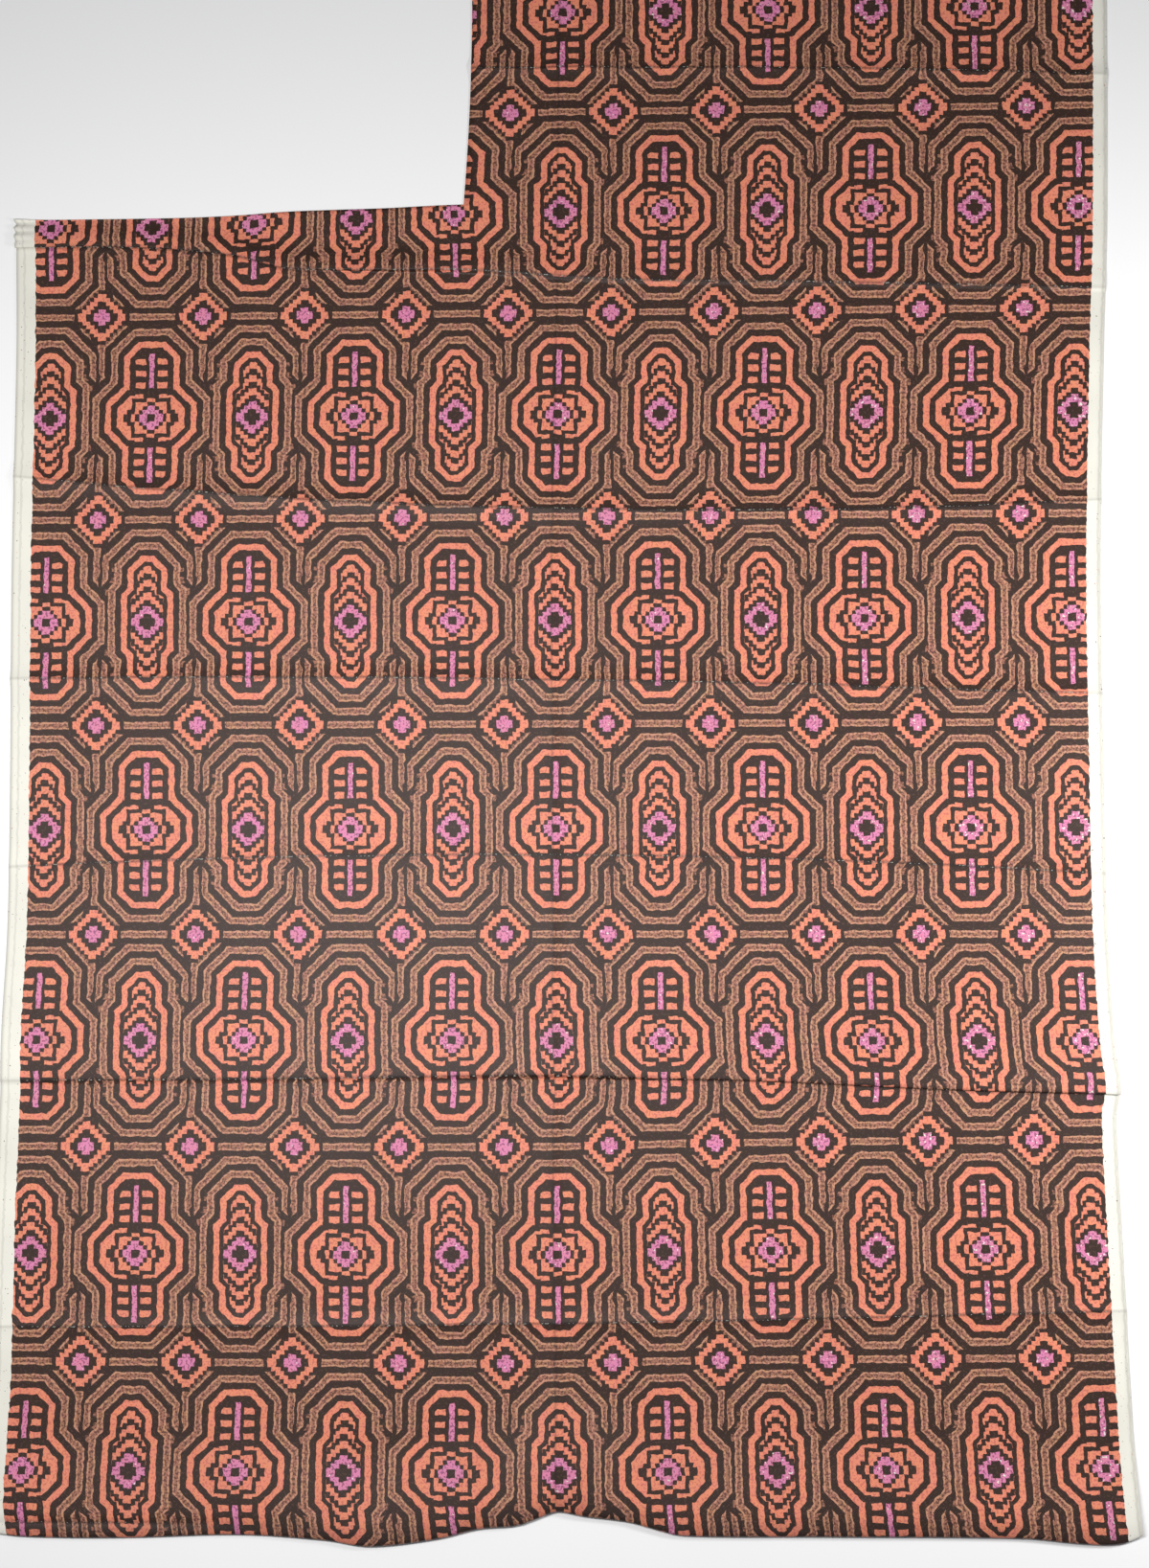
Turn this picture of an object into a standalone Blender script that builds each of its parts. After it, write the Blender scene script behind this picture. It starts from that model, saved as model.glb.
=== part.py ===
# A cut length of woven, printed cotton, lying face up with its storage creases.
# X runs across it, Y up its length and Z up from the surface that it lies on, in metres.
# A point of the flat cloth is (across, down): across from its middle, down from its top cut end.

import math

import bmesh
import bpy

CLOTH_WIDTH = 1.200
CLOTH_LENGTH = 1.830
THICKNESS = 0.0012
TOP_Y = 0.887              # where the top cut end lies

NOTCH_SIDE = -0.0965       # across, the cut side of the missing corner
NOTCH_DOWN = 0.3334        # down, the lower cut edge of the missing corner
NOTCH_LEAN = 0.007         # how far the cut side strays to the left at its foot
NOTCH_LEAN_WIDTH = 0.120   # how far across and up the cloth that stray is felt
NOTCH_LEAN_HEIGHT = 0.200

CREASE_ACROSS = 0.0        # the lengthwise crease of the middle fold
CREASE_HEIGHT = 0.0020
CREASE_REACH = 0.018

TURN_RADIUS = 0.0011       # middle of the sheet, at both turns of a full tuck
TURN_LENGTH = math.pi * TURN_RADIUS

COLUMN_PITCH = 0.060       # of the mesh, where nothing is folded

# Where the two selvedges lie, up the cloth: y, left x, right x
SELVEDGES = (
    (-0.888, -0.6010, 0.6090),
    (-0.840, -0.6070, 0.6040),
    (-0.715, -0.6025, 0.5980),
    (-0.560, -0.6015, 0.5925),
    (-0.440, -0.5990, 0.5890),
    (-0.412, -0.5985, 0.5930),
    (-0.355, -0.5990, 0.5880),
    (-0.235, -0.5945, 0.5830),
    (-0.070, -0.5950, 0.5825),
    (0.140, -0.5978, 0.5833),
    (0.395, -0.5975, 0.5920),
    (0.530, -0.6000, 0.5980),
    (0.888, -0.6000, 0.6040),
)

# The rolled lower edge, across the cloth: x, y of its outermost line, radius of the roll
LOWER_EDGE = (
    (-0.607, -0.876, 0.0030),
    (-0.560, -0.881, 0.0032),
    (-0.450, -0.881, 0.0032),
    (-0.335, -0.877, 0.0034),
    (-0.245, -0.882, 0.0038),
    (-0.200, -0.888, 0.0042),
    (-0.125, -0.879, 0.0042),
    (-0.063, -0.866, 0.0046),
    (0.000, -0.851, 0.0050),
    (0.058, -0.859, 0.0046),
    (0.090, -0.864, 0.0042),
    (0.125, -0.874, 0.0040),
    (0.270, -0.874, 0.0038),
    (0.475, -0.874, 0.0036),
    (0.535, -0.879, 0.0034),
    (0.575, -0.879, 0.0032),
    (0.607, -0.868, 0.0030),
)
ROLL_SETTLE = 0.050        # past the turned-under end, where the cloth is down again

# Two tucks, across the cloth: x, y of the upper edge's front, turn in degrees, overlap
UPPER_TUCK = (
    (-0.607, 0.508, 180.0, 0.0030),
    (-0.510, 0.509, 180.0, 0.0030),
    (-0.415, 0.504, 180.0, 0.0028),
    (-0.350, 0.495, 165.0, 0.0020),
    (-0.300, 0.480, 140.0, 0.0010),
    (-0.190, 0.474, 100.0, 0.0010),
    (-0.100, 0.471, 50.0, 0.0010),
    (0.070, 0.458, 24.0, 0.0010),
    (0.280, 0.453, 20.0, 0.0010),
    (0.607, 0.443, 24.0, 0.0010),
)
LOWER_TUCK = (
    (-0.607, -0.413, 20.0, 0.0010),
    (-0.260, -0.410, 16.0, 0.0010),
    (-0.020, -0.406, 40.0, 0.0010),
    (0.120, -0.406, 100.0, 0.0010),
    (0.220, -0.406, 130.0, 0.0010),
    (0.425, -0.414, 150.0, 0.0015),
    (0.580, -0.417, 170.0, 0.0020),
    (0.607, -0.418, 175.0, 0.0020),
)
UPPER_SETTLE = 0.026       # above each tuck, where the cloth is down again
LOWER_SETTLE = 0.045

# Crosswise creases, from the top: y at left, middle and right, height at the same, reach
CREASES = (
    (0.700, 0.706, 0.690, 0.0024, 0.0026, 0.0024, 0.022),
    (0.253, 0.213, 0.219, 0.0026, 0.0024, 0.0018, 0.024),
    (0.030, 0.026, 0.008, 0.0028, 0.0028, 0.0026, 0.022),
    (-0.175, -0.163, -0.184, 0.0012, 0.0014, 0.0022, 0.020),
    (-0.664, -0.657, -0.641, 0.0014, 0.0022, 0.0016, 0.022),
)

# A shallow groove just above the lower edge, at the left
GROOVE_Y = -0.863
GROOVE_END = -0.290
GROOVE_FADE = 0.150
GROOVE_DEPTH = 0.0016
GROOVE_REACH = 0.009

# Rows of the mesh about each crease, as shares of its reach, and up the slope to the roll
CREASE_ROWS = (-1.0, -0.35, 0.0, 0.35, 1.0)
SETTLE_ROWS = (1.0, 0.65, 0.3)
SLOPE_ROWS = (1.0, 0.7, 0.45, 0.25, 0.14, 0.07, 0.0)
TURN_STEPS = 3
ROLL_STEPS = 6


# A smooth line through the rows of a table, read in one of its columns
def along(table, at, column):
    last = len(table) - 1
    if at <= table[0][0]:
        return table[0][column]
    if at >= table[last][0]:
        return table[last][column]
    row = max(i for i in range(last) if table[i][0] <= at)

    def slope(i):
        low = table[max(i - 1, 0)]
        high = table[min(i + 1, last)]
        return (high[column] - low[column]) / (high[0] - low[0])

    start, end = table[row], table[row + 1]
    span = end[0] - start[0]
    t = (at - start[0]) / span
    value = (2 * t ** 3 - 3 * t ** 2 + 1) * start[column]
    value += (t ** 3 - 2 * t ** 2 + t) * span * slope(row)
    value += (3 * t ** 2 - 2 * t ** 3) * end[column]
    value += (t ** 3 - t ** 2) * span * slope(row + 1)
    return value


def ease(t):
    t = min(max(t, 0.0), 1.0)
    return t * t * (3 - 2 * t)


# Height of a crease at a distance from its line, sharp on top and soft at its foot
def ridge(distance, reach):
    return max(0.0, 1 - abs(distance) / reach) ** 2


# One tuck in one column: two turns of one length, with the overlap between them
class Tuck:
    def __init__(self, table, across, upper_is_fixed):
        self.turn = math.radians(along(table, across, 2))
        self.overlap = along(table, across, 3)
        self.radius = TURN_LENGTH / self.turn
        self.path = 2 * TURN_LENGTH + self.overlap
        self.end = self.at(self.path)
        self.hidden = self.path - self.end[0]
        front = along(table, across, 1) + TURN_RADIUS + THICKNESS / 2
        self.start_y = front + self.overlap
        self.start_down = TOP_Y - self.start_y
        if upper_is_fixed:
            self.start_down += self.hidden

    # Place along the tuck, measured from its start: forward and up
    def at(self, length):
        first = min(length, TURN_LENGTH)
        middle = min(max(length - TURN_LENGTH, 0.0), self.overlap)
        second = max(length - TURN_LENGTH - self.overlap, 0.0)
        angle = first / self.radius
        forward = self.radius * math.sin(angle) + middle * math.cos(self.turn)
        up = self.radius * (1 - math.cos(angle)) + middle * math.sin(self.turn)
        left = self.turn - second / self.radius
        if second > 0:
            forward += self.radius * (math.sin(self.turn) - math.sin(left))
            up += self.radius * (math.cos(left) - math.cos(self.turn))
        return forward, up

    # The same from any point of the cloth, with the slope back down above the tuck
    def place(self, down, settle):
        length = self.start_down - down
        if length <= 0:
            return self.start_y + length, 0.0
        if length <= self.path:
            forward, up = self.at(length)
            return self.start_y + forward, up
        past = length - self.path
        up = self.end[1] * (1 - ease((past - self.overlap - TURN_RADIUS) / settle))
        return self.start_y + self.end[0] + past, up


# All that changes from column to column, worked out once for each
class Column:
    def __init__(self, across):
        self.across = across
        self.upper = Tuck(UPPER_TUCK, across, False)
        self.lower = Tuck(LOWER_TUCK, across, True)
        self.roll_radius = along(LOWER_EDGE, across, 2)
        edge_y = along(LOWER_EDGE, across, 1) + THICKNESS / 2
        self.roll_y = edge_y + self.roll_radius
        self.roll_down = TOP_Y - self.roll_y + self.lower.hidden
        self.roll_length = math.pi * self.roll_radius
        self.flap = CLOTH_LENGTH - self.roll_down - self.roll_length
        self.slope = self.flap + ROLL_SETTLE

    # A soft bend through values at the left selvedge, the middle and the right selvedge
    def across_bend(self, left, middle, right):
        share = self.across / (CLOTH_WIDTH / 2)
        return middle + (right - left) / 2 * share + ((left + right) / 2 - middle) * share ** 2

    def crease_y(self, crease):
        return self.across_bend(*crease[0:3])

    def crease_height(self, crease):
        return self.across_bend(*crease[3:6])

    # Down positions of the mesh rows in this column, from the top cut end to the turned-under one
    def rows(self):
        downs = [0.0]
        self.add_crease(downs, CREASES[0])
        self.fill(downs, NOTCH_DOWN, 1)
        self.add_tuck(downs, self.upper, UPPER_SETTLE)
        for crease in CREASES[1:4]:
            self.add_crease(downs, crease)
        self.fill(downs, self.lower.start_down - self.lower.path - LOWER_SETTLE, 1)
        downs.pop()
        self.add_tuck(downs, self.lower, LOWER_SETTLE)
        self.add_crease(downs, CREASES[4], self.lower.hidden)
        self.fill(downs, self.roll_down - self.slope, 1)
        downs += [self.roll_down - self.slope * share for share in SLOPE_ROWS[1:]]
        step = self.roll_length / ROLL_STEPS
        downs += [self.roll_down + step * (i + 1) for i in range(ROLL_STEPS)]
        downs += [CLOTH_LENGTH - self.flap / 2, CLOTH_LENGTH]
        return downs

    def fill(self, downs, end, between):
        start = downs[-1]
        for i in range(between):
            downs.append(start + (end - start) * (i + 1) / (between + 1))
        downs.append(end)

    def add_crease(self, downs, crease, shift=0.0):
        line = TOP_Y - self.crease_y(crease) + shift
        reach = crease[6]
        self.fill(downs, line + CREASE_ROWS[0] * reach, 1)
        downs += [line + share * reach for share in CREASE_ROWS[1:]]

    def add_tuck(self, downs, tuck, settle):
        top = tuck.start_down - tuck.path
        downs += [top - tuck.overlap - settle * share for share in SETTLE_ROWS]
        step = TURN_LENGTH / TURN_STEPS
        downs += [top + step * i for i in range(TURN_STEPS + 1)]
        downs += [top + TURN_LENGTH + tuck.overlap + step * i for i in range(TURN_STEPS + 1)]

    # Where a point at this column and distance down lies, as the middle of the sheet
    def place(self, down):
        if down < self.upper.start_down:
            y, z = self.upper.place(down, UPPER_SETTLE)
        elif down > self.roll_down:
            return self.roll(down - self.roll_down)
        else:
            y, z = self.lower.place(down, LOWER_SETTLE)
        for crease in CREASES:
            z += self.crease_height(crease) * ridge(y - self.crease_y(crease), crease[6])
        from_roll = y - self.roll_y
        fall = 1 - ease(from_roll / self.slope)
        z += 2 * self.roll_radius * fall
        groove = GROOVE_DEPTH * ease((GROOVE_END - self.across) / GROOVE_FADE)
        z -= groove * ridge(y - GROOVE_Y, GROOVE_REACH)
        middle = CREASE_HEIGHT * ridge(self.across - CREASE_ACROSS, CREASE_REACH)
        z += middle * ease(from_roll / ROLL_SETTLE)
        return y, z

    # The half turn at the lower edge and the end lying under the cloth
    def roll(self, past):
        if past >= self.roll_length:
            return self.roll_y + past - self.roll_length, 0.0
        angle = past / self.roll_radius
        y = self.roll_y - self.roll_radius * math.sin(angle)
        return y, self.roll_radius * (1 + math.cos(angle))


# Straight across between the selvedges, with the stray of the notch's cut side
def place_across(across, y):
    left = along(SELVEDGES, y, 1)
    right = along(SELVEDGES, y, 2)
    x = left + (right - left) * (across / CLOTH_WIDTH + 0.5)
    near_side = ridge(across - NOTCH_SIDE, NOTCH_LEAN_WIDTH)
    near_foot = ridge(y - (TOP_Y - NOTCH_DOWN), NOTCH_LEAN_HEIGHT)
    return x - NOTCH_LEAN * near_side * near_foot


# Columns lie evenly, and closer at the notch, the middle crease and the selvedges
def column_places():
    half = CLOTH_WIDTH / 2
    places = [-half, NOTCH_SIDE, half]
    places += [CREASE_ACROSS + share * CREASE_REACH for share in CREASE_ROWS]
    steps = round(CLOTH_WIDTH / COLUMN_PITCH)
    for i in range(1, steps):
        across = -half + CLOTH_WIDTH * i / steps
        if min(abs(across - place) for place in places) > COLUMN_PITCH / 3:
            places.append(across)
    return sorted(places)


def make_cloth():
    places = column_places()
    columns = [Column(across) for across in places]
    rows = [column.rows() for column in columns]
    across_steps = len(columns) - 1
    down_steps = len(rows[0]) - 1

    mesh = bpy.data.meshes.new("cloth")
    bm = bmesh.new()
    bmesh.ops.create_grid(bm, x_segments=across_steps, y_segments=down_steps, size=0.5)

    corner_x = places.index(NOTCH_SIDE) / across_steps - 0.5
    corner_y = 0.5 - rows[0].index(NOTCH_DOWN) / down_steps
    missing = []
    for face in bm.faces:
        middle = face.calc_center_median()
        if middle.x < corner_x and middle.y > corner_y:
            missing.append(face)
    bmesh.ops.delete(bm, geom=missing, context='FACES')

    for vert in bm.verts:
        i = round((vert.co.x + 0.5) * across_steps)
        j = round((0.5 - vert.co.y) * down_steps)
        y, z = columns[i].place(rows[i][j])
        vert.co = (place_across(columns[i].across, y), y, z + THICKNESS / 2)

    bm.to_mesh(mesh)
    bm.free()
    mesh.shade_smooth()
    cloth = bpy.data.objects.new("cloth", mesh)

    thick = cloth.modifiers.new("Thickness", 'SOLIDIFY')
    thick.thickness = THICKNESS
    thick.offset = 0.0
    thick.use_even_offset = True
    return cloth


# Printed cotton: dull, rust brown with black when seen from afar
def make_cotton():
    material = bpy.data.materials.new("printed_cotton")
    material.use_nodes = True
    shader = material.node_tree.nodes["Principled BSDF"]
    shader.inputs["Base Color"].default_value = (0.16, 0.065, 0.035, 1.0)
    shader.inputs["Roughness"].default_value = 0.85
    shader.inputs["Metallic"].default_value = 0.0
    return material


def main():
    for thing in list(bpy.data.objects):
        bpy.data.objects.remove(thing)
    parts = bpy.data.collections.new("woven_cloth")
    bpy.context.scene.collection.children.link(parts)
    cloth = make_cloth()
    cloth.data.materials.append(make_cotton())
    parts.objects.link(cloth)


main()
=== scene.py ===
# A cut length of woven, printed cotton, lying face up: its looks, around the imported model.
# Metres: X across the cloth, Y up its length, Z up from the floor.
# A point of the flat cloth is (across, down): across from its middle, down from its top cut end.

import math

import bmesh
import bpy
from mathutils import Matrix, Vector, noise


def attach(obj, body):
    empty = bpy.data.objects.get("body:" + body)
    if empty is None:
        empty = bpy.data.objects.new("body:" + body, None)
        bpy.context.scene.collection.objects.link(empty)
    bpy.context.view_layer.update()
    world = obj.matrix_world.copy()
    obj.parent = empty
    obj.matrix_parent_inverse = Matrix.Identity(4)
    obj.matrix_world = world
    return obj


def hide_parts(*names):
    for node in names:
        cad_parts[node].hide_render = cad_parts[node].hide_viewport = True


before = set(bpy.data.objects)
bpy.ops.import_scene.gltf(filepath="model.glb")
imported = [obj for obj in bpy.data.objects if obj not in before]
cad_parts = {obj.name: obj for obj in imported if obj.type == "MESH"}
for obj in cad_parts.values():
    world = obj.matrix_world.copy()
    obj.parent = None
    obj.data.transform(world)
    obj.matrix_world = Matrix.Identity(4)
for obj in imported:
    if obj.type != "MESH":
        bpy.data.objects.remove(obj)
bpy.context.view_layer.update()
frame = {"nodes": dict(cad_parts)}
print("frame loaded:", ", ".join(frame["nodes"]))


# sRGB hex to the linear colour that nodes take
def linearColour(hexColour):
    channels = []
    for i in (0, 2, 4):
        value = int(hexColour[i:i + 2], 16) / 255
        if value <= 0.04045:
            channels.append(value / 12.92)
        else:
            channels.append(((value + 0.055) / 1.055) ** 2.4)
    return (*channels, 1.0)


# One node with its settings and what feeds its inputs: a socket, or a fixed value
def addNode(tree, kind, settings=None, inputs=None):
    node = tree.nodes.new(kind)
    for name, value in (settings or {}).items():
        setattr(node, name, value)
    for key, value in (inputs or {}).items():
        if isinstance(value, bpy.types.NodeSocket):
            tree.links.new(value, node.inputs[key])
        elif value is not None:
            node.inputs[key].default_value = value
    return node


# The sheet, in the folds that it was put away in
clothForm = {
    "width": 1.200,
    "length": 1.830,
    "thickness": 0.0008,       # real cotton of this kind is near 0.4 mm
    "solidThickness": 0.0012,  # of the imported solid, whose surface it lies on
    "topY": 0.887,             # where the top cut end lies
    "pitch": 0.0098,           # of the mesh, where nothing is folded
    "creasePitch": 0.0024,
    "turnSteps": 7,            # rows along each turn of a tuck
    "rollClose": 0.025,        # how far above the roll the rows are closer
    "notchAcross": -0.0965,    # the missing corner: its cut side and its lower cut edge
    "notchDown": 0.3334,
    "notchLean": 0.007,        # how far the cut side strays to the left at its foot
    "notchLeanReach": (0.120, 0.200),
    "middleCrease": (0.0, 0.0020, 0.018),    # across, height, reach
    "turnRadius": 0.0011,      # both turns of a full tuck, at the middle of the sheet
    "rollSettle": 0.050,       # past the turned-under end, where the cloth is down again
    # where the two selvedges lie: y, left x, right x
    "selvedges": (
        (-0.888, -0.6010, 0.6090),
        (-0.840, -0.6070, 0.6040),
        (-0.715, -0.6025, 0.5980),
        (-0.560, -0.6015, 0.5925),
        (-0.440, -0.5990, 0.5890),
        (-0.412, -0.5985, 0.5930),
        (-0.355, -0.5990, 0.5880),
        (-0.235, -0.5945, 0.5830),
        (-0.070, -0.5950, 0.5825),
        (0.140, -0.5978, 0.5833),
        (0.395, -0.5975, 0.5920),
        (0.530, -0.6000, 0.5980),
        (0.888, -0.6000, 0.6040),
    ),
    # the rolled lower edge: x, y of its outermost line, radius of the roll
    "lowerEdge": (
        (-0.607, -0.876, 0.0030),
        (-0.560, -0.881, 0.0032),
        (-0.450, -0.881, 0.0032),
        (-0.335, -0.877, 0.0034),
        (-0.245, -0.882, 0.0038),
        (-0.200, -0.888, 0.0042),
        (-0.125, -0.879, 0.0042),
        (-0.084, -0.8690, 0.0045),
        (-0.042, -0.8650, 0.0047),
        (-0.018, -0.8565, 0.0049),
        (0.000, -0.8505, 0.0050),
        (0.026, -0.8550, 0.0048),
        (0.072, -0.8605, 0.0044),
        (0.100, -0.8680, 0.0042),
        (0.125, -0.874, 0.0040),
        (0.270, -0.874, 0.0038),
        (0.475, -0.874, 0.0036),
        (0.535, -0.879, 0.0034),
        (0.575, -0.879, 0.0032),
        (0.607, -0.868, 0.0030),
    ),
    "rollShade": (0.50, 0.022),      # how dark the turn of the roll is, and from how far above it
    # two tucks: x, y of the upper edge's front, turn in degrees, overlap
    "upperTuck": (
        (-0.607, 0.508, 180.0, 0.0030),
        (-0.510, 0.509, 180.0, 0.0030),
        (-0.415, 0.504, 180.0, 0.0028),
        (-0.350, 0.495, 165.0, 0.0020),
        (-0.300, 0.480, 140.0, 0.0010),
        (-0.190, 0.474, 100.0, 0.0010),
        (-0.100, 0.471, 50.0, 0.0010),
        (0.070, 0.458, 24.0, 0.0010),
        (0.280, 0.453, 20.0, 0.0010),
        (0.607, 0.443, 24.0, 0.0010),
    ),
    "lowerTuck": (
        (-0.607, -0.413, 20.0, 0.0010),
        (-0.260, -0.410, 16.0, 0.0010),
        (-0.020, -0.406, 40.0, 0.0010),
        (0.120, -0.406, 100.0, 0.0010),
        (0.220, -0.406, 130.0, 0.0010),
        (0.425, -0.414, 150.0, 0.0015),
        (0.580, -0.417, 170.0, 0.0020),
        (0.607, -0.418, 175.0, 0.0020),
    ),
    "tuckFoot": (0.0084, 0.0030),    # how far the mesh is close there, and how far the painted shade below each tuck reaches
    "upperSettle": 0.026,      # above each tuck, where the cloth is down again
    "lowerSettle": 0.045,
    # crosswise creases: y at left, middle and right, height at the same, reach
    "creases": (
        (0.700, 0.706, 0.690, 0.0024, 0.0026, 0.0024, 0.022),
        (0.253, 0.213, 0.219, 0.0026, 0.0024, 0.0018, 0.024),
        (0.030, 0.026, 0.008, 0.0028, 0.0028, 0.0026, 0.022),
        (-0.175, -0.163, -0.184, 0.0012, 0.0014, 0.0022, 0.020),
        (-0.664, -0.657, -0.641, 0.0014, 0.0022, 0.0016, 0.022),
    ),
    # a shallow groove above the lower edge at the left: y, end, fade, depth, reach
    "groove": (-0.865, -0.290, 0.150, 0.0016, 0.009),
    # small wrinkles that the solid leaves out: height, and size of one
    "rumple": (0.0003, 0.090),
    "creaseWaver": (0.0012, 0.060),  # of a crease from its line: how far, and length of one
    # pressed lines, darkened as painted shade: reach of one at a crease, share of it on the middle
    # crease, reach at a tuck's front as a share of its turn
    "pressedAndShaded": (0.00144, 0.6, 0.8),
    # the left selvedge, bunched below the notch: how far it reaches across and down, the pitch
    # of its wrinkles, their height, and how far they push the selvedge out
    "bunch": (0.034, 0.046, 0.0100, 0.0032, 0.0030),
    "bunchPitch": 0.0045,
}


# A smooth line through the rows of a table, read in one of its columns
def along(table, at, column):
    last = len(table) - 1
    if at <= table[0][0]:
        return table[0][column]
    if at >= table[last][0]:
        return table[last][column]
    row = max(i for i in range(last) if table[i][0] <= at)

    def slope(i):
        low = table[max(i - 1, 0)]
        high = table[min(i + 1, last)]
        return (high[column] - low[column]) / (high[0] - low[0])

    start, end = table[row], table[row + 1]
    span = end[0] - start[0]
    t = (at - start[0]) / span
    value = (2 * t ** 3 - 3 * t ** 2 + 1) * start[column]
    value += (t ** 3 - 2 * t ** 2 + t) * span * slope(row)
    value += (3 * t ** 2 - 2 * t ** 3) * end[column]
    value += (t ** 3 - t ** 2) * span * slope(row + 1)
    return value


def ease(t):
    t = min(max(t, 0.0), 1.0)
    return t * t * (3 - 2 * t)


# Height of a crease at a distance from its line, sharp on top and soft at its foot
def ridge(distance, reach):
    return max(0.0, 1 - abs(distance) / reach) ** 2


# One tuck in one column: two turns of one length, with the overlap between them
class Tuck:
    def __init__(self, table, across, upperIsFixed):
        self.turnLength = math.pi * clothForm["turnRadius"]
        self.turn = math.radians(along(table, across, 2))
        self.overlap = along(table, across, 3)
        self.radius = self.turnLength / self.turn
        self.path = 2 * self.turnLength + self.overlap
        self.end = self.at(self.path)
        self.hidden = self.path - self.end[0]
        front = along(table, across, 1) + clothForm["turnRadius"]
        self.startY = front + clothForm["solidThickness"] / 2 + self.overlap
        self.startDown = clothForm["topY"] - self.startY
        if upperIsFixed:
            self.startDown += self.hidden

    # place along the tuck from its start: forward and up
    def at(self, length):
        first = min(length, self.turnLength)
        middle = min(max(length - self.turnLength, 0.0), self.overlap)
        second = max(length - self.turnLength - self.overlap, 0.0)
        angle = first / self.radius
        forward = self.radius * math.sin(angle) + middle * math.cos(self.turn)
        up = self.radius * (1 - math.cos(angle)) + middle * math.sin(self.turn)
        left = self.turn - second / self.radius
        if second > 0:
            forward += self.radius * (math.sin(self.turn) - math.sin(left))
            up += self.radius * (math.cos(left) - math.cos(self.turn))
        return forward, up

    # y and height of any point of the cloth, with the slope back down above the tuck
    def place(self, down, settle):
        length = self.startDown - down
        if length <= 0:
            return self.startY + length, 0.0
        if length <= self.path:
            forward, up = self.at(length)
            return self.startY + forward, up
        past = length - self.path
        fall = (past - self.overlap - clothForm["turnRadius"]) / settle
        return self.startY + self.end[0] + past, self.end[1] * (1 - ease(fall))


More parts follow.
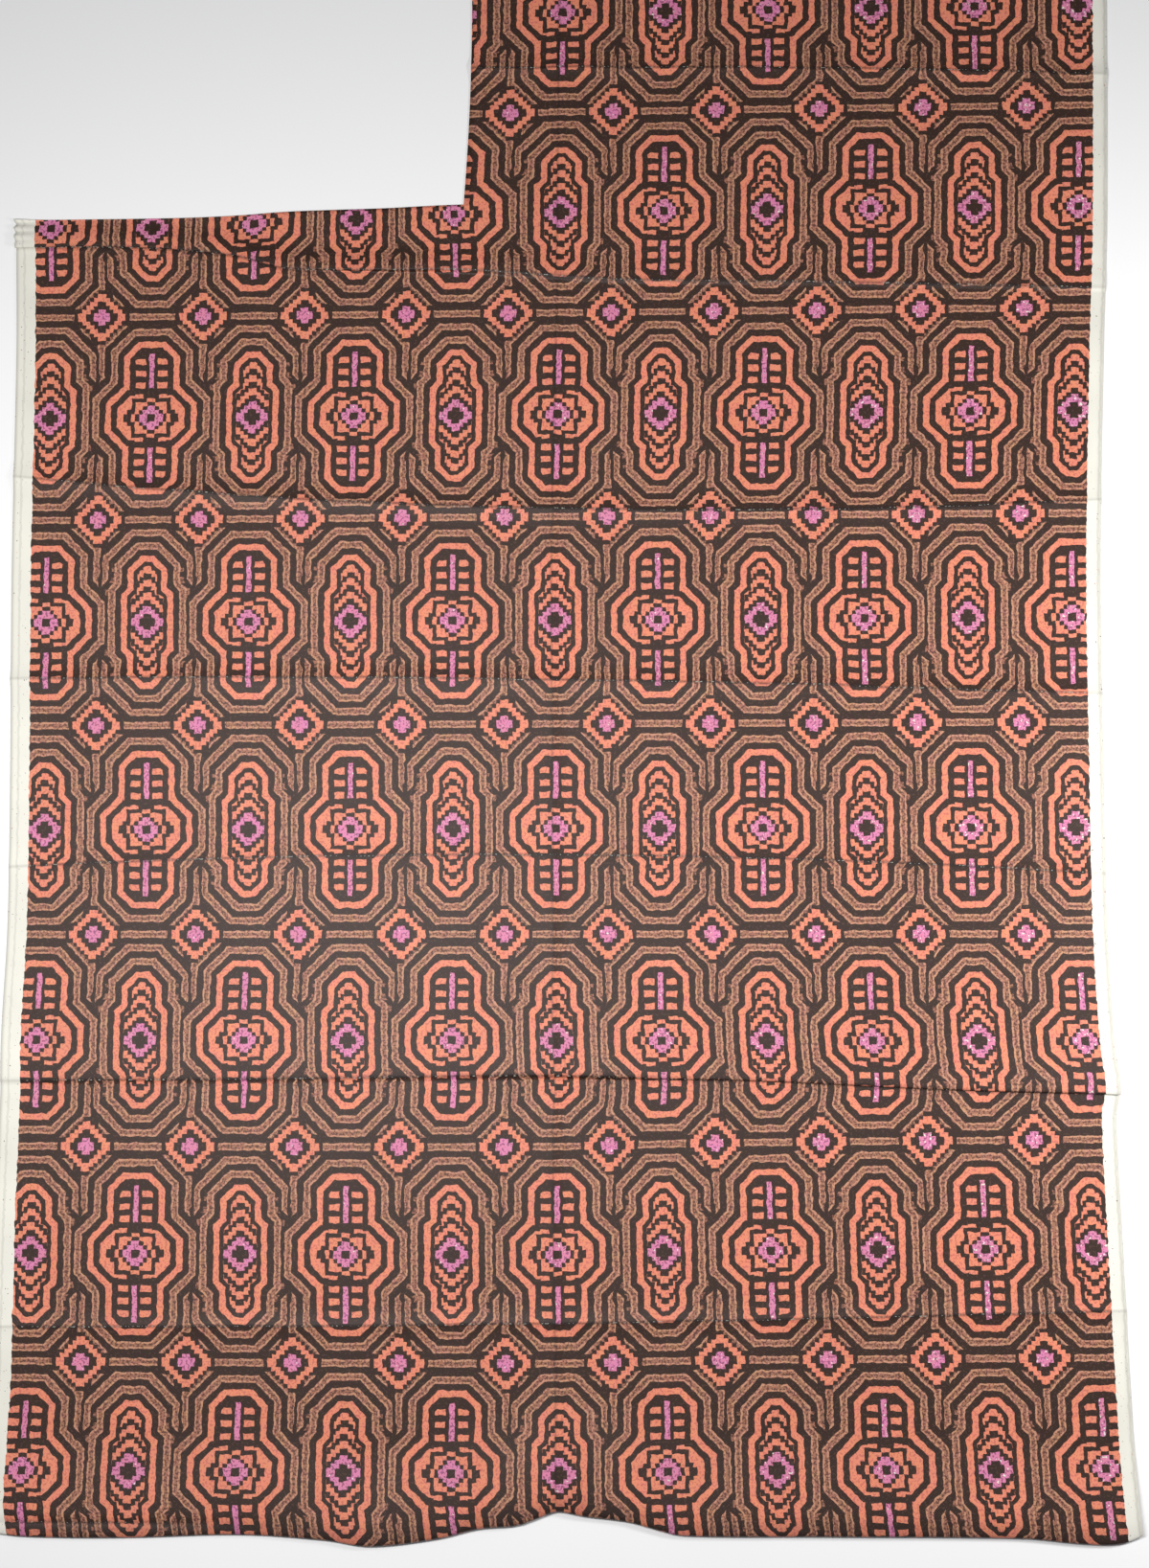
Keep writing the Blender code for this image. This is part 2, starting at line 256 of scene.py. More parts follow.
# All that changes from column to column, worked out once for each
class Column:
    def __init__(self, across):
        form = clothForm
        self.across = across
        self.upper = Tuck(form["upperTuck"], across, False)
        self.lower = Tuck(form["lowerTuck"], across, True)
        self.rollRadius = along(form["lowerEdge"], across, 2)
        edgeY = along(form["lowerEdge"], across, 1) + form["solidThickness"] / 2
        self.rollY = edgeY + self.rollRadius
        self.rollDown = form["topY"] - self.rollY + self.lower.hidden
        self.rollLength = math.pi * self.rollRadius
        self.flap = form["length"] - self.rollDown - self.rollLength
        self.slope = self.flap + form["rollSettle"]
        height, size = form["creaseWaver"]
        self.waver = [
            height * noise.noise(Vector((across / size, 7.3 * i, 0.0)))
            for i in range(len(form["creases"]))
        ]

    # a soft bend through values at the left selvedge, the middle and the right selvedge
    def acrossBend(self, left, middle, right):
        share = self.across / (clothForm["width"] / 2)
        return middle + (right - left) / 2 * share + ((left + right) / 2 - middle) * share ** 2

    def creaseY(self, i):
        return self.acrossBend(*clothForm["creases"][i][0:3]) + self.waver[i]

    # down positions to which the rows of the mesh run, each with the pitch on the way to it
    def stations(self):
        form = clothForm
        wide, close = form["pitch"], form["creasePitch"]
        turn = self.upper.turnLength / form["turnSteps"]
        places = [(0.0, wide)]

        def addCrease(i, shift=0.0):
            line = form["topY"] - self.creaseY(i) + shift
            reach = form["creases"][i][6]
            places.append((line - reach, wide))
            places.append((line, close))
            places.append((line + reach, close))

        def addTuck(tuck, settle, pitch):
            top = tuck.startDown - tuck.path
            places.append((top - tuck.overlap - settle, pitch))
            places.append((top, close))
            places.append((top + tuck.turnLength, turn))
            places.append((top + tuck.turnLength + tuck.overlap, turn))
            places.append((tuck.startDown, turn))
            places.append((tuck.startDown + form["tuckFoot"][0], close))

        addCrease(0, -self.upper.hidden)
        places.append((form["notchDown"], wide))
        addTuck(self.upper, form["upperSettle"], form["bunchPitch"])
        for i in (1, 2, 3):
            addCrease(i)
        addTuck(self.lower, form["lowerSettle"], wide)
        addCrease(4, self.lower.hidden)
        places.append((self.rollDown - self.slope, wide))
        places.append((self.rollDown - form["rollClose"], 2 * close))
        places.append((self.rollDown, close))
        places.append((self.rollDown + self.rollLength, close / 2))
        places.append((form["length"], wide))
        return places

    # y and height of the middle of the solid's sheet at this column and distance down
    def place(self, down):
        form = clothForm
        if down < self.upper.startDown:
            y, z = self.upper.place(down, form["upperSettle"])
        elif down > self.rollDown:
            return self.roll(down - self.rollDown)
        else:
            y, z = self.lower.place(down, form["lowerSettle"])
        for i, crease in enumerate(form["creases"]):
            z += self.acrossBend(*crease[3:6]) * ridge(y - self.creaseY(i), crease[6])
        fromRoll = y - self.rollY
        z += 2 * self.rollRadius * (1 - ease(fromRoll / self.slope))
        grooveY, grooveEnd, grooveFade, grooveDepth, grooveReach = form["groove"]
        groove = grooveDepth * ease((grooveEnd - self.across) / grooveFade)
        z -= groove * ridge(y - grooveY, grooveReach)
        line, height, reach = form["middleCrease"]
        z += height * ridge(self.across - line, reach) * ease(fromRoll / form["rollSettle"])
        return y, z

    # how sharply the cloth is pressed at a point, as painted shade: 1 along the lines of creases
    # and tucks; also painted shade along the groove, over the turn of the roll and below full tucks
    def pressedFoldAndShade(self, down, y):
        form = clothForm
        reach, middleShare, frontShare = form["pressedAndShaded"]
        toCrease = min(abs(y - self.creaseY(i)) for i in range(len(form["creases"])))
        fold = max(0.0, 1 - toCrease / reach)
        toMiddle = abs(self.across - form["middleCrease"][0])
        fold = max(fold, middleShare * (1 - toMiddle / reach))
        grooveY, grooveEnd, grooveFade = form["groove"][0:3]
        groove = ease((grooveEnd - self.across) / grooveFade)
        fold = max(fold, groove * (1 - abs(y - grooveY) / (2 * reach)))
        rollShade, rollReach = form["rollShade"]
        fold = max(fold, rollShade * ease(1 + (down - self.rollDown) / rollReach))
        for tuck in (self.upper, self.lower):
            front = tuck.startDown - tuck.path + tuck.turnLength / 2
            fold = max(fold, 1 - abs(down - front) / (frontShare * tuck.turnLength))
            # and in the shade at the foot of a full tuck
            if down >= tuck.startDown:
                foot = tuck.startDown - tuck.at(tuck.path - tuck.turnLength / 2)[0]
                shade = min(1.0, 1 - (down - foot) / form["tuckFoot"][1])
                fold = max(fold, shade * tuck.turn / math.pi)
        return fold

    # the half turn at the lower edge and the end lying under the cloth
    def roll(self, past):
        if past >= self.rollLength:
            return self.rollY + past - self.rollLength, 0.0
        angle = past / self.rollRadius
        y = self.rollY - self.rollRadius * math.sin(angle)
        return y, self.rollRadius * (1 + math.cos(angle))


# Straight across between the selvedges, with the stray of the notch's cut side
def placeAcross(across, y):
    form = clothForm
    left = along(form["selvedges"], y, 1)
    right = along(form["selvedges"], y, 2)
    x = left + (right - left) * (across / form["width"] + 0.5)
    reachAcross, reachUp = form["notchLeanReach"]
    nearSide = ridge(across - form["notchAcross"], reachAcross)
    nearFoot = ridge(y - (form["topY"] - form["notchDown"]), reachUp)
    return x - form["notchLean"] * nearSide * nearFoot


# Height of the small wrinkles that are all over the cloth: broad ones, a little longer than wide,
# with finer ones of half the height on them
def smallWrinkle(across, down):
    height, size = clothForm["rumple"]
    spot = Vector((across / size, down / size * 0.7, 3.1))
    return height * (noise.noise(spot) + 0.5 * noise.noise(spot * 2.7) + 1)


# How bunched the left selvedge is below the notch, and how far up on a wrinkle a point is
def bunching(across, down):
    reachAcross, reachDown, pitch = clothForm["bunch"][0:3]
    fromSelvedge = across + clothForm["width"] / 2
    fromCut = down - clothForm["notchDown"]
    if fromCut < 0:
        return 0.0, 0.0
    share = (1 - ease(fromSelvedge / reachAcross)) * (1 - ease(fromCut / reachDown))
    return share, (1 + math.cos(2 * math.pi * fromCut / pitch)) / 2


def evenSteps(start, end, steps):
    shares = [(i + 1) / steps for i in range(steps)]
    return [start * (1 - share) + end * share for share in shares]


# Even steps between stations, closer at the middle crease
def columnPlaces():
    form = clothForm
    half = form["width"] / 2
    line, height, reach = form["middleCrease"]
    stations = [
        (-half, form["pitch"]),
        (-half + form["bunch"][0], form["bunchPitch"]),
        (form["notchAcross"], form["pitch"]),
        (line - reach, form["pitch"]),
        (line, form["creasePitch"]),
        (line + reach, form["creasePitch"]),
        (half, form["pitch"]),
    ]
    places = [-half]
    for (start, _), (end, pitch) in zip(stations, stations[1:]):
        places += evenSteps(start, end, round((end - start) / pitch))
    return places


def makeCloth():
    form = clothForm
    acrossPlaces = columnPlaces()
    columns = [Column(across) for across in acrossPlaces]
    middle = Column(0.0).stations()
    stepCounts = [
        max(1, round((end - start) / pitch))
        for (start, _), (end, pitch) in zip(middle, middle[1:])
    ]
    rows = []
    for column in columns:
        stations = column.stations()
        downs = [0.0]
        for i, steps in enumerate(stepCounts):
            downs += evenSteps(stations[i][0], stations[i + 1][0], steps)
        rows.append(downs)
    acrossSteps = len(columns) - 1
    downSteps = len(rows[0]) - 1

    bm = bmesh.new()
    bmesh.ops.create_grid(bm, x_segments=acrossSteps, y_segments=downSteps, size=0.5)
    cornerX = acrossPlaces.index(form["notchAcross"]) / acrossSteps - 0.5
    cornerY = 0.5 - rows[0].index(form["notchDown"]) / downSteps
    missing = []
    for face in bm.faces:
        centre = face.calc_center_median()
        if centre.x < cornerX and centre.y > cornerY:
            missing.append(face)
    bmesh.ops.delete(bm, geom=missing, context='FACES')

    # each vertex goes to its place; the UV map keeps where it was on the flat cloth
    bunchHeight, bunchPush = form["bunch"][3:5]
    flatPlace = {}
    pressedAndShaded = bm.verts.layers.float.new("pressedFoldAndShade")
    for vert in bm.verts:
        i = round((vert.co.x + 0.5) * acrossSteps)
        j = round((0.5 - vert.co.y) * downSteps)
        across, down = acrossPlaces[i], rows[i][j]
        y, z = columns[i].place(down)
        bunched, onWrinkle = bunching(across, down)
        # pressed lines with painted shade, and painted shade in the valleys of the bunched
        # selvedge's wrinkles
        vert[pressedAndShaded] = max(columns[i].pressedFoldAndShade(down, y), bunched * (1 - onWrinkle) ** 2)
        z += form["solidThickness"] / 2 + smallWrinkle(across, down)
        z += bunchHeight * bunched * onWrinkle
        flatPlace[vert] = (0.5 + across / form["length"], 1 - down / form["length"])
        vert.co = (placeAcross(across, y) - bunchPush * bunched * onWrinkle, y, z)
    uvLayer = bm.loops.layers.uv.new("flatCloth")
    for face in bm.faces:
        for loop in face.loops:
            loop[uvLayer].uv = flatPlace[loop.vert]

    mesh = bpy.data.meshes.new("cotton_length")
    bm.to_mesh(mesh)
    bm.free()
    mesh.shade_smooth()
    cloth = bpy.data.objects.new("cotton_length", mesh)
    bpy.context.scene.collection.objects.link(cloth)
    thick = cloth.modifiers.new("Thickness", 'SOLIDIFY')
    thick.thickness = form["thickness"]
    thick.offset = 0.0
    thick.use_even_offset = True
    thick.material_offset = 1      # the underside takes the reverse of the print
    return cloth


# The print: a lozenge and a feather in a half-drop repeat, with lines round them, in mm
printDrawing = {
    "inks": {"black": 0, "brown": 1, "tan": 2, "orange": 3, "pink": 4, "bare": 5},
    "repeat": (226.0, 452.0),
    "stair": 4.4,                          # the steps of slanting edges
    "frame": 6.6,                          # the orange frame of each figure and the gap inside it
    # the two boxes of each figure: half width, half height, cut corner
    "lozenge": ((51.0, 38.0, 22.0), (31.0, 85.0, 16.0)),
    "feather": ((22.0, 73.0, 15.0), (29.0, 42.0, 11.0)),
    "lines": (14.8, 7.6, 7.0),             # the brown lines: pitch, width, start
    "lineEdge": 2.0,                       # lighter edge on both sides of a line
    "teeth": (3.6, 13.2, 6.6, 3.3, 60.0),  # beside the feather: reach, pitch, width, start, end
    "seam": 3.6,                           # black, where the lines of two figures meet
    # inks laid one in the other, each with how far it reaches
    "rowLine": (("black", 9.4), ("tan", 3.8), ("brown", 1.8)),
    "crossing": (("black", 30.0), ("orange", 24.0), ("black", 15.0), ("pink", 8.0)),
    "starRings": (("black", 0.0), ("orange", -8.0)),
    "heart": (("black", 17.0), ("pink", 12.0), ("black", 4.0)),
    "spine": (("black", 6.6), ("pink", 2.8)),
    "knot": (("pink", 17.0), ("black", 5.0)),
    "star": (21.5, 30.0),                  # half side of its square, reach of its points
    "body": 26.4,                          # half height of the full ground in the lozenge
    "bars": (33.0, 13.2, 6.6),             # in the lozenge's ends: start, pitch, width
    "featherInset": 11.2,                  # from the feather's outline to its chevrons
    "chevrons": (14.6, 7.6, 10.0, 22.0),   # pitch, width, start, and how far from the middle
}


# The drawing as maths steps, each a result's name, an operation and its values
def drawPrint(drawing):
    width, height = drawing["repeat"]
    stair, frameWidth = drawing["stair"], drawing["frame"]
    inks = drawing["inks"]
    diagonal = math.sqrt(0.5)
    steps = []

    def step(name, operation, *values):
        steps.append((name, operation, values))
        return name

    # distance outside two boxes with cut corners, from folded distances x and y
    def outline(name, x, y, boxes):
        for i, (halfWidth, halfHeight, corner) in enumerate(boxes):
            step("side", 'SUBTRACT', x, halfWidth)
            step("end", 'SUBTRACT', y, halfHeight)
            step("side", 'MAXIMUM', "side", "end")
            step("end", 'ADD', x, y)
            step("end", 'SUBTRACT', "end", halfWidth + halfHeight - corner)
            step("end", 'MULTIPLY', "end", diagonal)
            step("part%d" % i, 'MAXIMUM', "side", "end")
        step(name, 'MINIMUM', "part0", "part1")

    def between(name, field, low, high):
        step("low", 'GREATER_THAN', field, low)
        step("high", 'LESS_THAN', field, high)
        step(name, 'MULTIPLY', "low", "high")

    def stripes(name, field, pitch, stripe, start):
        step("phase", 'SUBTRACT', field, start)
        step("phase", 'FLOORED_MODULO', "phase", pitch)
        step(name, 'LESS_THAN', "phase", stripe)

    def paint(ink, mask, *others):
        for other in others:
            mask = step("mask", 'MULTIPLY', mask, other)
        step("change", 'SUBTRACT', float(inks[ink]), "ink")
        step("ink", 'MULTIPLY_ADD', mask, "change", "ink")

    def paintRings(field, rings):
        for ink, reach in rings:
            paint(ink, step("below", 'LESS_THAN', field, reach))

    # a quarter of the repeat, folded on itself by the half drop
    step("x", 'PINGPONG', "u", width / 2)
    step("y", 'PINGPONG', "v", height / 2)
    step("upper", 'GREATER_THAN', "y", height / 4)
    for axis, half in (("x", width / 2), ("y", height / 2)):
        step("turned", 'MULTIPLY_ADD', axis, -2.0, half)
        step(axis, 'MULTIPLY_ADD', "upper", "turned", axis)
    step("xRest", 'SUBTRACT', width / 2, "x")
    step("yRest", 'SUBTRACT', height / 2, "y")
    step("stairX", 'SNAP', "x", stair)
    step("stairY", 'SNAP', "y", stair)
    step("stairRest", 'SNAP', "xRest", stair)
    step("ink", 'ADD', 0.0, 0.0)

    # brown lines about the nearest figure, and a seam where the next one is as near
    outline("lozenge", "x", "y", drawing["lozenge"])
    outline("feather", "xRest", "y", drawing["feather"])
    outline("lozengeAbove", "xRest", "yRest", drawing["lozenge"])
    outline("featherAbove", "x", "yRest", drawing["feather"])
    step("near", 'MINIMUM', "lozenge", "feather")
    step("next", 'MAXIMUM', "lozenge", "feather")
    for figure in ("lozengeAbove", "featherAbove"):
        step("further", 'MAXIMUM', "near", figure)
        step("next", 'MINIMUM', "next", "further")
        step("near", 'MINIMUM', "near", figure)
    linePitch, lineWidth, lineStart = drawing["lines"]
    stripes("lines", "near", linePitch, lineWidth, lineStart)
    step("outside", 'GREATER_THAN', "near", 0.0)
    between("cores", "phase", drawing["lineEdge"], lineWidth - drawing["lineEdge"])
    paint("tan", "lines", "outside")
    paint("brown", "cores", "outside")

    # teeth beside the feather, on its first line and a hair into it
    reach, pitch, toothWidth, start, end = drawing["teeth"]
    root = lineStart + lineWidth
    between("teeth", "feather", root - 0.1, root + reach)
    stripes("cuts", "y", pitch, toothWidth, start)
    step("stretch", 'LESS_THAN', "y", end)
    paint("brown", "teeth", "stretch", "cuts")
    step("apart", 'SUBTRACT', "next", "near")
    paintRings("apart", (("black", drawing["seam"]),))

    # a line between the rows of figures, and stepped diamonds on it where four figures meet
    for result, axis, middle in (("crossX", "x", width / 4), ("crossY", "y", height / 4)):
        step(result, 'SUBTRACT', axis, middle)
        step(result, 'ABSOLUTE', result)
    paintRings("crossY", drawing["rowLine"])
    for result in ("crossX", "crossY"):
        step(result, 'SNAP', result, stair)
    step("cross", 'ADD', "crossX", "crossY")
    paintRings("cross", drawing["crossing"])

    for figure in ("lozenge", "feather"):
        paintRings(figure, (("orange", 0.0), ("black", -frameWidth)))

    # lozenge: an eight-pointed star on a full ground, and bars beside a spine in its two ends
    step("field", 'LESS_THAN', "lozenge", -2 * frameWidth)
    step("body", 'LESS_THAN', "y", drawing["body"])
    paint("orange", "field", "body")
    starSide, starReach = drawing["star"]
    step("square", 'MAXIMUM', "stairX", "stairY")
    step("square", 'SUBTRACT', "square", starSide)
    step("diamond", 'ADD', "stairX", "stairY")
    step("points", 'SUBTRACT', "diamond", starReach)
    step("star", 'MINIMUM', "square", "points")
    paintRings("star", drawing["starRings"])
    paintRings("diamond", drawing["heart"])
    start, pitch, barWidth = drawing["bars"]
    step("ends", 'GREATER_THAN', "y", start)
    stripes("bars", "y", pitch, barWidth, start)
    paint("orange", "field", "ends", "bars")
    for ink, reach in drawing["spine"]:
        step("middle", 'LESS_THAN', "x", reach)
        paint(ink, "field", "ends", "middle")

    # feather: chevrons from a knot in its middle
    pitch, chevronWidth, start, fromMiddle = drawing["chevrons"]
    step("field", 'LESS_THAN', "feather", -drawing["featherInset"])
    step("rib", 'ADD', "stairRest", "y")
    stripes("ribs", "rib", pitch, chevronWidth, start)
    step("away", 'GREATER_THAN', "rib", fromMiddle)
    paint("orange", "field", "ribs", "away")
    step("knot", 'ADD', "stairRest", "stairY")
    paintRings("knot", drawing["knot"])

    # bare specks where the pink, printed last, missed
    step("isPink", 'GREATER_THAN', "ink", inks["pink"] - 0.5)
    paint("bare", "isPink", "missed")
    return steps


cottonLook = {
    "uvMm": 1830.0,            # what one unit of the UV map is on the flat cloth
    "shiftMm": (-4.0, 96.0),   # of the print, so that its figures fall as the cutter left them
    # each ink, what shows through where it is thin, and how often that is, as a limit for noise
    "inks": (
        ("32211a", "453029", 0.36),
        ("946450", "5c3c32", 0.48),
        ("b68368", "885a4c", 0.44),
        ("d58064", "bd6b5a", 0.43),
        ("ca7898", "90506e", 0.42),
        ("d8d5c9", "d0ccbe", 0.42),
    ),
    # each noise, the size of its spots in mm, and its detail
    "noises": (
        ("stray", 8.0, 1.0),       # of the engraved edges
        ("spots", 2.6, 1.0),       # where the ink is thin
        ("clouds", 55.0, 2.0),     # slow changes in how much ink the cloth took
        ("pinkSpots", 3.4, 1.0),   # where the pink missed
        ("tint", 13.0, 1.0),       # how the inks lean to yellow or red
    ),
    "wobbleMm": 1.4,           # how far the edges stray
    "cloudShare": 0.16,        # between the darkest and the lightest cloud
    "missedLimit": (0.76, -0.00012),   # for noise: in the middle, and more for each mm to the right
    "tintRange": (0.10, 0.22, 0.30),   # red, green and blue
    "bareColour": "d8d5c9",    # of the selvedges and worn spots
    "printHalfWidthMm": 581.5,
    "printMiddleMm": 3.0,      # right of the cloth's middle
    "selvedgeLine": (594.0, 1.2, 0.86),   # from the middle, half its width, and how light it is
    "speckLimit": 0.79,        # for noise, where a speck of ink fell on a selvedge
    "wornLimit": 0.58,         # for noise, where ink has worn off along a pressed fold
    "paintedFoldShade": 0.35,          # painted shade: what is left of the colour along creases, tuck fronts and the groove, below tucks and over the roll
    "selvedgeFoldShade": 0.35,          # how much of that painted shade shows on a selvedge
    "threadMm": 1.6,           # real threads are 0.4 mm apart, too fine for the render
    "threadDepth": 0.00008,
    "threadShare": 0.6,        # how much of that the bump shows
    "reverseShare": 0.34,      # of the print that comes through to the back
    "roughness": 0.53,
    "specular": 0.24,
}


# The maths steps of a table as nodes, with their results kept by name
def addSteps(tree, steps, results):
    for result, operation, values in steps:
        feeds = {i: results.get(value, value) for i, value in enumerate(values)}
        made = addNode(tree, "ShaderNodeMath", {"operation": operation}, feeds)
        results[result] = made.outputs["Value"]


# What the maths steps start from: noises, pressed folds with their painted shade, and each place on
# the flat cloth in mm, straying a little, from the cloth's middle (across, down) and from the
# print's start (u, v)
def startingResults(tree, look):
    uvMap = addNode(tree, "ShaderNodeUVMap", {"uv_map": "flatCloth"})
    scale = look["uvMm"]
    inMm = addNode(tree, "ShaderNodeMapping", {}, {
        "Vector": uvMap.outputs["UV"],
        "Location": (-scale / 2, 0.0, 0.0),
        "Scale": (scale, scale, 1.0),
    })
    results = {}
    for use, size, detail in look["noises"]:
        noise2d = addNode(tree, "ShaderNodeTexNoise", {"noise_dimensions": '2D'}, {
            "Vector": inMm.outputs["Vector"],
            "Scale": 1 / size,
            "Detail": detail,
        })
        isColour = use in ("stray", "tint")
        results[use] = noise2d.outputs["Color" if isColour else "Fac"]

    wobble = look["wobbleMm"]
    strayed = addNode(tree, "ShaderNodeVectorMath", {"operation": 'MULTIPLY_ADD'}, {
        0: results["stray"],
        1: (2 * wobble, 2 * wobble, 0.0),
        2: inMm.outputs["Vector"],
    })
    shiftX, shiftY = look["shiftMm"]
    shifted = addNode(tree, "ShaderNodeVectorMath", {"operation": 'ADD'}, {
        0: strayed.outputs["Vector"],
        1: (shiftX - wobble, shiftY - wobble, 0.0),
    })
    onCloth = addNode(tree, "ShaderNodeSeparateXYZ", {}, {0: strayed.outputs["Vector"]})
    onPrint = addNode(tree, "ShaderNodeSeparateXYZ", {}, {0: shifted.outputs["Vector"]})
    pressedAndShaded = addNode(tree, "ShaderNodeAttribute", {"attribute_name": "pressedFoldAndShade"})
    results["across"] = onCloth.outputs["X"]
    results["down"] = onCloth.outputs["Y"]
    results["u"] = onPrint.outputs["X"]
    results["v"] = onPrint.outputs["Y"]
    results["pressedAndShaded"] = pressedAndShaded.outputs["Fac"]
    return results


# The maths steps of the printed cotton, from its print to its weave
def cottonSteps(look):
    inkCount = len(look["inks"])
    missedStart, missedSlope = look["missedLimit"]
    linePlace, lineHalfWidth, lineLight = look["selvedgeLine"]
    thread = math.pi / look["threadMm"]
    cloudShare = look["cloudShare"]
    return (
        ("missedLimit", 'MULTIPLY_ADD', ("across", missedSlope, missedStart)),
        ("missed", 'GREATER_THAN', ("pinkSpots", "missedLimit")),
        *drawPrint(printDrawing),
        ("inkShare", 'MULTIPLY_ADD', ("ink", 1 / inkCount, 0.5 / inkCount)),
        # nothing is printed on the selvedges, but for a few specks
        ("fromMiddle", 'SUBTRACT', ("across", look["printMiddleMm"] + look["wobbleMm"])),
        ("fromMiddle", 'ABSOLUTE', ("fromMiddle",)),
        ("isSelvedge", 'GREATER_THAN', ("fromMiddle", look["printHalfWidthMm"])),
        ("noSpeck", 'LESS_THAN', ("spots", look["speckLimit"])),
        ("bare", 'MULTIPLY', ("isSelvedge", "noSpeck")),
        # nor is ink left in worn spots on pressed folds
        ("worn", 'MULTIPLY', ("pressedAndShaded", "spots")),
        ("worn", 'GREATER_THAN', ("worn", look["wornLimit"])),
        ("bare", 'MAXIMUM', ("bare", "worn")),
        # clouds, a line along the selvedge and painted shade along folds
        ("cloudLight", 'MULTIPLY_ADD', ("clouds", cloudShare, 1 - cloudShare / 2)),
        ("line", 'COMPARE', ("fromMiddle", linePlace, lineHalfWidth)),
        ("lineLight", 'MULTIPLY_ADD', ("line", lineLight - 1, 1.0)),
        ("fold", 'MULTIPLY_ADD', ("isSelvedge", look["selvedgeFoldShade"] - 1, 1.0)),
        ("fold", 'MULTIPLY', ("fold", "pressedAndShaded")),
        ("foldLight", 'MULTIPLY_ADD', ("fold", look["paintedFoldShade"] - 1, 1.0)),
        ("light", 'MULTIPLY', ("cloudLight", "lineLight")),
        ("light", 'MULTIPLY', ("light", "foldLight")),
        # warp over weft and weft over warp
        ("warp", 'MULTIPLY', ("across", thread)),
        ("warp", 'SINE', ("warp",)),
        ("weft", 'MULTIPLY', ("down", thread)),
        ("weft", 'SINE', ("weft",)),
        ("weave", 'MULTIPLY', ("warp", "weft")),
    )


# Plain-woven cotton, printed by machine: matt, with thin spots in the ink and a veil of light
# from its fuzz where the lamp is mirrored. The reverse has the same print, paler and softer.
def makePrintedCotton(name, look, isReverse):
    material = bpy.data.materials.new(name)
    material.use_nodes = True
    tree = material.node_tree
    shader = tree.nodes["Principled BSDF"]
    results = startingResults(tree, look)
    addSteps(tree, cottonSteps(look), results)

    # ink numbers become colours: full, and where the ink is thin
    inkCount = len(look["inks"])
    ramps = []
    for column in (0, 1):
        ramp = addNode(tree, "ShaderNodeValToRGB", {}, {"Fac": results["inkShare"]})
        ramp.color_ramp.interpolation = 'CONSTANT'
        stops = ramp.color_ramp.elements
        for i, ink in enumerate(look["inks"]):
            stop = stops[i] if i < 2 else stops.new(i / inkCount)
            stop.position = i / inkCount
            stop.color = (*linearColour(ink[column])[:3], ink[2])
        ramps.append(ramp)
    isThin = addNode(tree, "ShaderNodeMath", {"operation": 'LESS_THAN'}, {
        0: results["spots"],
        1: ramps[0].outputs["Alpha"],
    })
    inked = addNode(tree, "ShaderNodeMix", {"data_type": 'RGBA'}, {
        0: isThin.outputs["Value"],
        6: ramps[0].outputs["Color"],
        7: ramps[1].outputs["Color"],
    })
    # the inks lean to yellow here and to red there, and the bare cloth doesn't
    tint = addNode(tree, "ShaderNodeVectorMath", {"operation": 'MULTIPLY_ADD'}, {
        0: results["tint"],
        1: look["tintRange"],
        2: tuple(1 - part / 2 for part in look["tintRange"]),
    })
    tinted = addNode(tree, "ShaderNodeVectorMath", {"operation": 'MULTIPLY'}, {
        0: inked.outputs[2],
        1: tint.outputs["Vector"],
    })
    printed = addNode(tree, "ShaderNodeMix", {"data_type": 'RGBA'}, {
        0: results["bare"],
        6: tinted.outputs["Vector"],
        7: linearColour(look["bareColour"]),
    })
    coloured = addNode(tree, "ShaderNodeVectorMath", {"operation": 'SCALE'}, {
        0: printed.outputs[2],
        "Scale": results["light"],
    })
    colour = coloured.outputs["Vector"]
    if isReverse:
        through = addNode(tree, "ShaderNodeMix", {"data_type": 'RGBA'}, {
            0: look["reverseShare"],
            6: linearColour(look["bareColour"]),
            7: colour,
        })
        colour = through.outputs[2]
    tree.links.new(colour, shader.inputs["Base Color"])

    bump = addNode(tree, "ShaderNodeBump", {}, {
        "Strength": look["threadShare"],
        "Distance": look["threadDepth"],
        "Height": results["weave"],
    })
    tree.links.new(bump.outputs["Normal"], shader.inputs["Normal"])
    shader.inputs["Roughness"].default_value = look["roughness"]
    shader.inputs["Specular IOR Level"].default_value = look["specular"]
    return material


floorLook = {
    "size": 8.0,
    "gap": 0.0003,             # below the cloth's underside
    "colour": "e9e8e7",
    "roughness": 0.9,
}


# Matt seamless paper: pale and even, so that nothing draws the eye from the cloth
def makeFloor():
    bm = bmesh.new()
    bmesh.ops.create_grid(bm, x_segments=1, y_segments=1, size=floorLook["size"] / 2)
    bmesh.ops.translate(bm, verts=bm.verts, vec=(0.0, 0.0, -floorLook["gap"]))
    mesh = bpy.data.meshes.new("floor")
    bm.to_mesh(mesh)
    bm.free()
    paper = bpy.data.materials.new("matt_seamless_paper")
    paper.use_nodes = True
    shader = paper.node_tree.nodes["Principled BSDF"]
    shader.inputs["Base Color"].default_value = linearColour(floorLook["colour"])
    shader.inputs["Roughness"].default_value = floorLook["roughness"]
    mesh.materials.append(paper)
    floor = bpy.data.objects.new("floor", mesh)
    bpy.context.scene.collection.objects.link(floor)


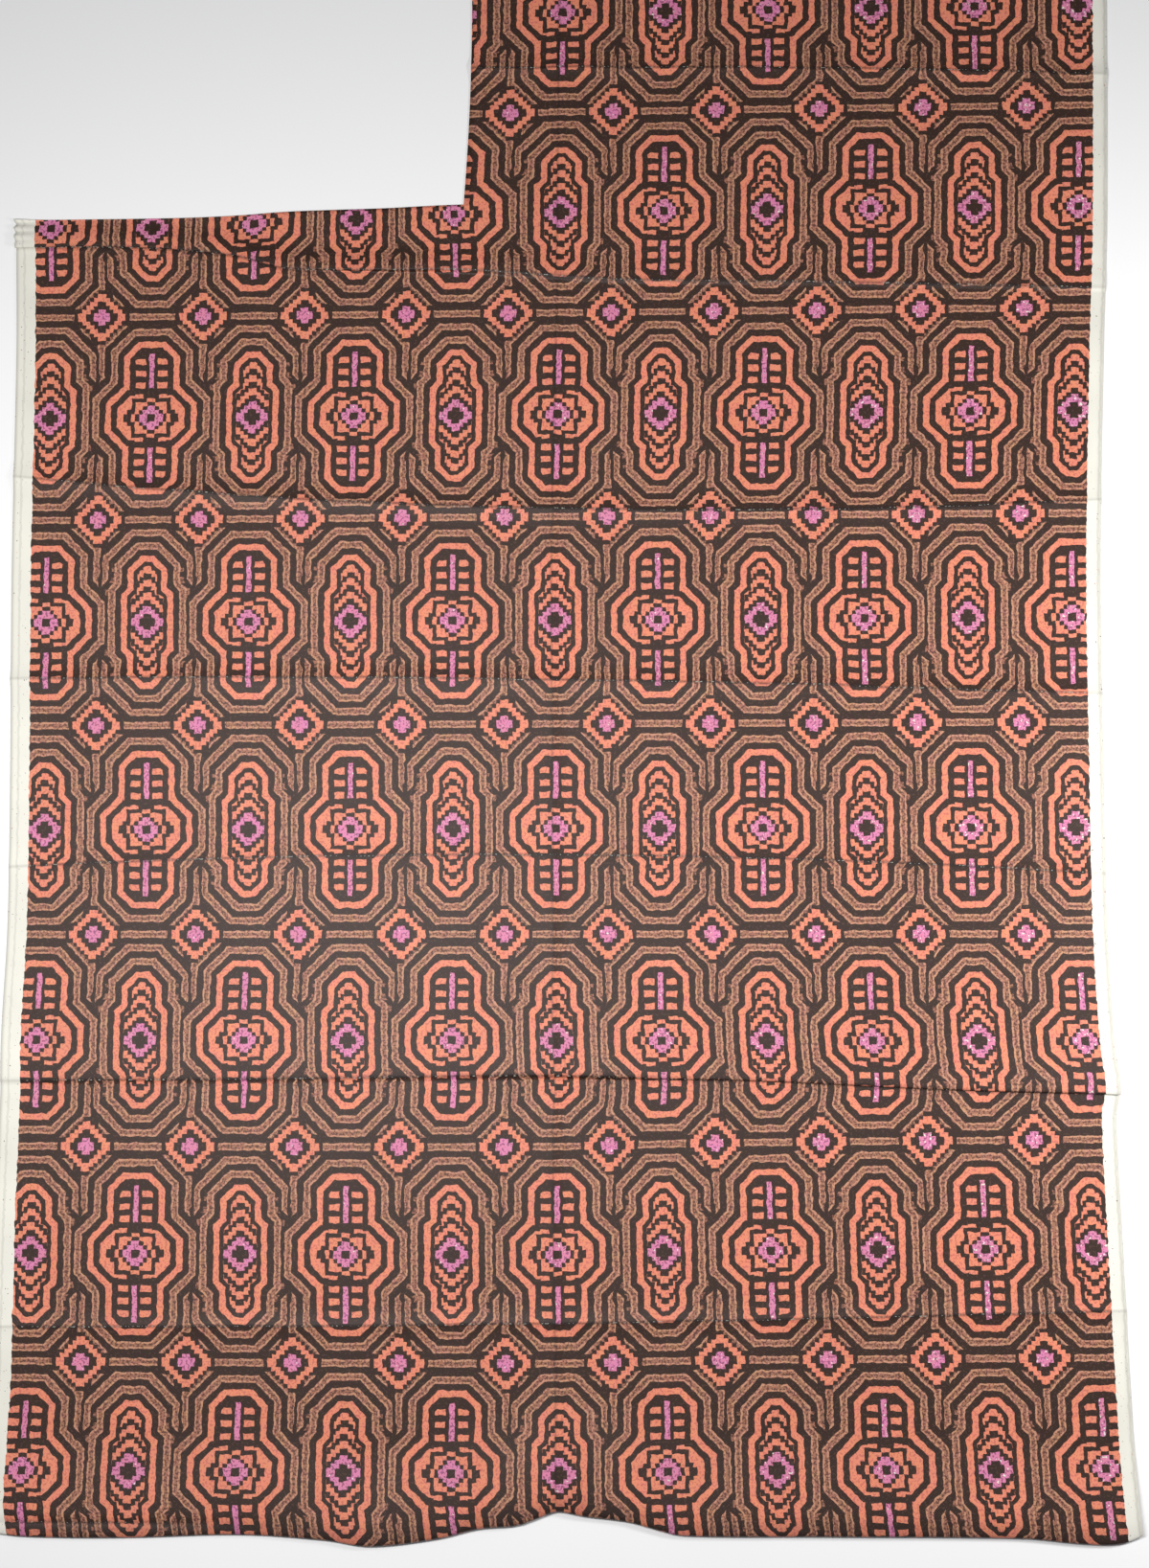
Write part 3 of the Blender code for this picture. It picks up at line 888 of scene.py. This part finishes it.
cameraView = {
    "place": (0.097, -0.272, 2.333),
    "tilt": 4.53,              # degrees; looking down, leaning towards the top end
    "roll": -0.165,
    "yaw": 1.94,
    "lens": 50.0,
}
# softboxes that hang level and shine straight down: name, place, size, watts
studioLights = (
    ("overhead", (-0.40, -0.19, 1.57), (0.93, 0.20), 29.5),
    ("beside", (1.15, -0.18, 0.90), (0.30, 0.30), 15.6),
)
roomLight = ("f0f5ff", 0.20)


def makeCamera():
    data = bpy.data.cameras.new("camera")
    data.lens = cameraView["lens"]
    data.sensor_width = 36.0
    camera = bpy.data.objects.new("camera", data)
    turn = Matrix.Rotation(math.radians(cameraView["tilt"]), 4, 'X')
    turn @= Matrix.Rotation(math.radians(cameraView["roll"]), 4, 'Z')
    turn @= Matrix.Rotation(math.radians(cameraView["yaw"]), 4, 'Y')
    camera.matrix_world = Matrix.Translation(cameraView["place"]) @ turn
    bpy.context.scene.collection.objects.link(camera)
    bpy.context.scene.camera = camera


def makeLights():
    for name, place, size, watts in studioLights:
        data = bpy.data.lights.new(name, 'AREA')
        data.shape = 'RECTANGLE'
        data.size, data.size_y = size
        data.energy = watts
        light = bpy.data.objects.new(name, data)
        light.location = place
        bpy.context.scene.collection.objects.link(light)
    world = bpy.data.worlds.new("studio")
    world.use_nodes = True
    background = world.node_tree.nodes["Background"]
    background.inputs["Color"].default_value = linearColour(roomLight[0])
    background.inputs["Strength"].default_value = roomLight[1]
    bpy.context.scene.world = world


cloth = makeCloth()
cloth.data.materials.append(makePrintedCotton("printed_plain_cotton", cottonLook, False))
cloth.data.materials.append(makePrintedCotton("reverse_of_printed_cotton", cottonLook, True))
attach(cloth, "root")
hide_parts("cloth")
flatArea = clothForm["width"] * clothForm["length"]
flatArea -= (clothForm["width"] / 2 + clothForm["notchAcross"]) * clothForm["notchDown"]
print("cloth made:", len(cloth.data.polygons), "faces,", round(flatArea, 3), "m2 flat")

makeFloor()
makeCamera()
makeLights()
bpy.context.scene.view_settings.view_transform = 'Standard'
print("floor, camera and lights made")
